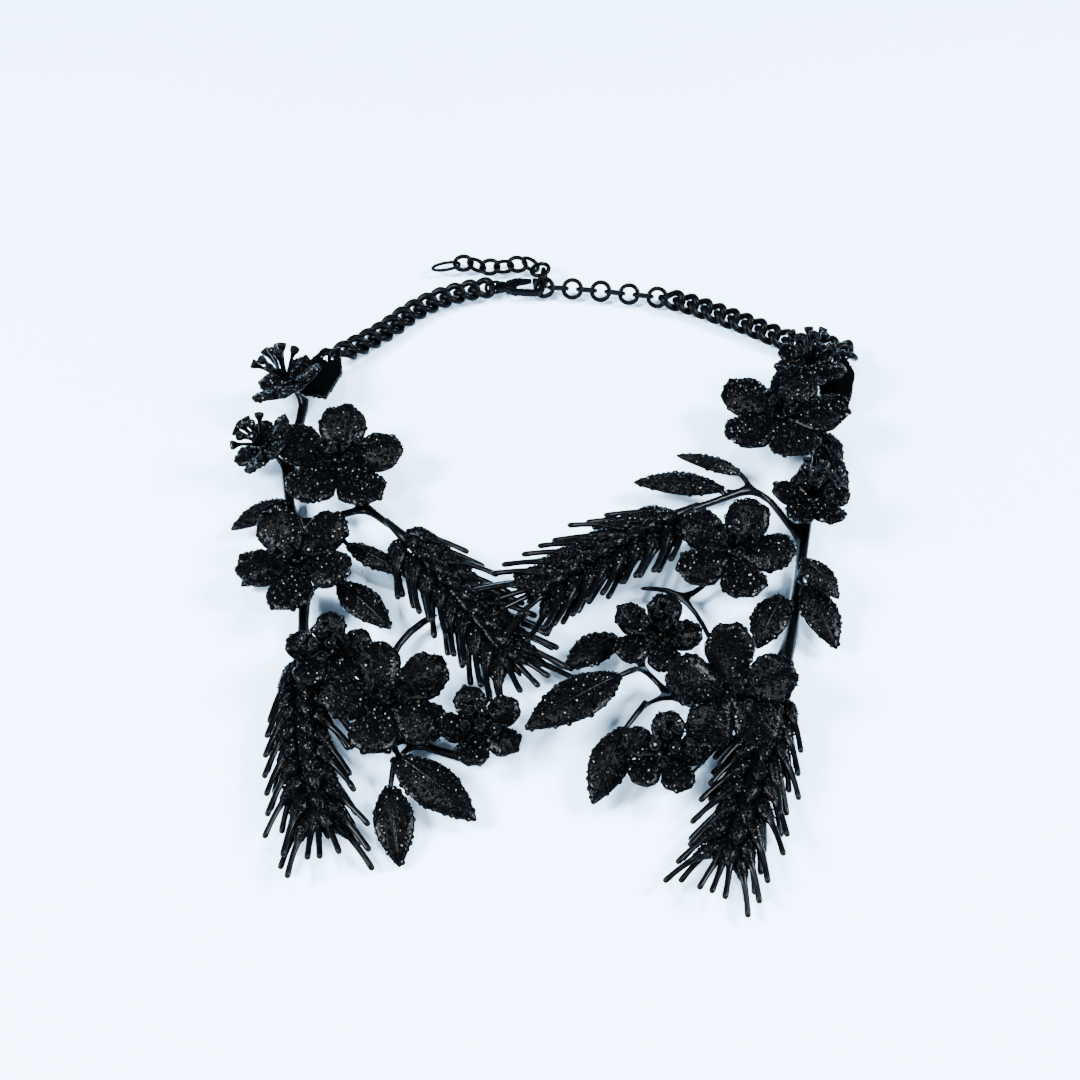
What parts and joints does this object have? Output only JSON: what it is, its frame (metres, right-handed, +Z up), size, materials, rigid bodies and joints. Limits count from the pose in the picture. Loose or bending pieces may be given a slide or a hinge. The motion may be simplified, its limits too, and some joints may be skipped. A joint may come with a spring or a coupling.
{
  "type": "bib necklace",
  "caption": "Black floral bib necklace: two stone-covered halves of flowers, leaves and wheat ears on forked stems, with a curb chain, lobster clasp and extender.",
  "frame": {"origin": "middle of the necklace's foot on the table it lies on", "axes": "+Z up from the table, +Y from the bib towards the clasp, +X to the right as seen from above"},
  "size_m": [0.2048, 0.2598, 0.0291],
  "materials": {
    "pave_black": "black painted metal set all over with small black faceted stones",
    "smooth_black": "smooth glossy black paint",
    "bead_black": "glossy black with a black stone in each cup",
    "chain_black": "satin black plated chain",
    "plate_black": "polished black"
  },
  "bodies": {
    "necklace": {"centre_link": "smooth_black", "chain_left": "chain_black", "chain_right": "chain_black", "chain_tail": "chain_black", "charm_oval": "chain_black", "clasp_body": "smooth_black", "clasp_ring": "chain_black", "ear_left_inner": "pave_black", "ear_left_outer": "pave_black", "ear_right_inner": "pave_black", "ear_right_outer": "pave_black", "end_plate_left": "plate_black", "end_plate_right": "plate_black", "leaf_left_drop": "pave_black", "leaf_left_fan": "pave_black", "leaf_left_neck": "pave_black", "leaf_left_outer": "pave_black", "leaf_left_spread": "pave_black", "leaf_left_tuck": "pave_black", "leaf_right_bough": "pave_black", "leaf_right_drop": "pave_black", "leaf_right_fan": "pave_black", "leaf_right_lapel": "pave_black", "leaf_right_neck": "pave_black", "leaf_right_outer": "pave_black", "leaf_right_oval": "pave_black", "leaf_right_spread": "pave_black", "leaf_right_tuck": "pave_black", "leaf_right_wing": "pave_black", "petals_left_collar": "pave_black", "petals_left_heart": "pave_black", "petals_left_inner": "pave_black", "petals_left_low": "pave_black", "petals_left_shoulder": "pave_black", "petals_left_side": "pave_black", "petals_left_top": "pave_black", "petals_right_collar": "pave_black", "petals_right_heart": "pave_black", "petals_right_inner": "pave_black", "petals_right_low": "pave_black", "petals_right_shoulder": "pave_black", "petals_right_side": "pave_black", "petals_right_top": "pave_black", "stamens_left_collar": "bead_black", "stamens_left_heart": "bead_black", "stamens_left_inner": "bead_black", "stamens_left_low": "bead_black", "stamens_left_shoulder": "bead_black", "stamens_left_side": "bead_black", "stamens_left_top": "bead_black", "stamens_right_collar": "bead_black", "stamens_right_heart": "bead_black", "stamens_right_inner": "bead_black", "stamens_right_low": "bead_black", "stamens_right_shoulder": "bead_black", "stamens_right_side": "bead_black", "stamens_right_top": "bead_black", "stems_left": "smooth_black", "stems_right": "smooth_black"},
    "lever": {"clasp_lever": "smooth_black"}
  },
  "joints": [
    {"name": "clasp_lever_hinge", "type": "hinge", "parent": "necklace", "child": "lever", "pos_m": [-0.01446, 0.11445, 0.00398], "axis": [0.0142, -0.0005, -0.9999], "range_deg": [0, 25], "stiffness_Nm_per_rad": 0.005, "springref_deg": -11.46}
  ]
}
